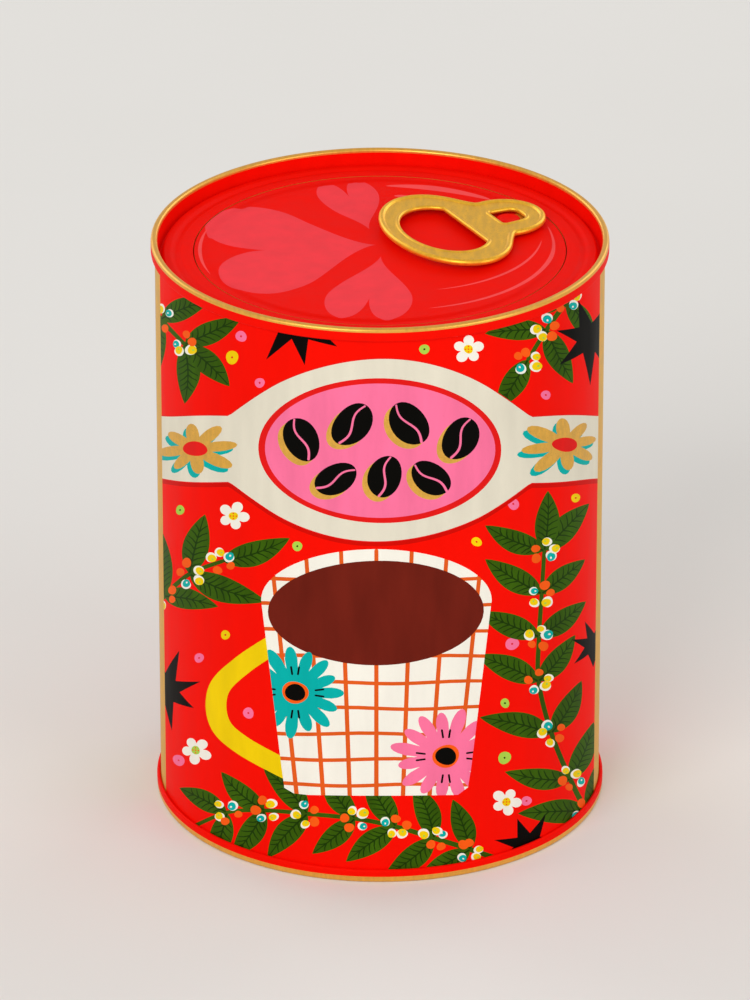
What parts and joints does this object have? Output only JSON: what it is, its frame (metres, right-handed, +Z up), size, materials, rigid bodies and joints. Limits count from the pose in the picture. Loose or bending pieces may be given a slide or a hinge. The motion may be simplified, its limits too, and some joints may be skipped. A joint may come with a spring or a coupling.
{
  "type": "coffee tin",
  "caption": "Cylindrical ring-pull coffee tin with double-seamed ends, a peel-back lid panel and a lifting pull tab.",
  "frame": {"origin": "middle of the base, on the plane that the bottom seam stands on", "axes": "+Z up along the tin, -Y towards the front of the printed design, +X to the right of it"},
  "size_m": [0.1008, 0.1008, 0.134],
  "materials": {
    "printed_tinplate": "gloss lithographed print over tinplate, gold-lacquered inside",
    "gold_lacquered_end": "gold-lacquered tinplate, satin",
    "red_lacquered_end": "gloss red lacquer with lighter hearts, gold-lacquered underneath",
    "gold_tab": "gold-lacquered tinplate, satin",
    "lining_compound": "matte cured sealing compound"
  },
  "bodies": {
    "can": {"can_body": "printed_tinplate", "bottom_end": "gold_lacquered_end", "top_ring": "red_lacquered_end", "panel_heel": "red_lacquered_end", "top_seam_compound": "lining_compound", "bottom_seam_compound": "lining_compound"},
    "panel": {"tear_panel": "red_lacquered_end", "rivet": "red_lacquered_end", "tab_tongue": "gold_tab"},
    "tab": {"pull_tab": "gold_tab"}
  },
  "joints": [
    {"name": "panel_peel", "type": "hinge", "parent": "can", "child": "panel", "pos_m": [-0.03002, -0.01596, 0.13068], "axis": [0.4695, -0.8829, 0], "range_deg": [0, 110]},
    {"name": "tab_lift", "type": "hinge", "parent": "panel", "child": "tab", "pos_m": [0.03501, 0.01861, 0.1321], "axis": [-0.4695, 0.8829, 0], "range_deg": [0, 100]}
  ]
}
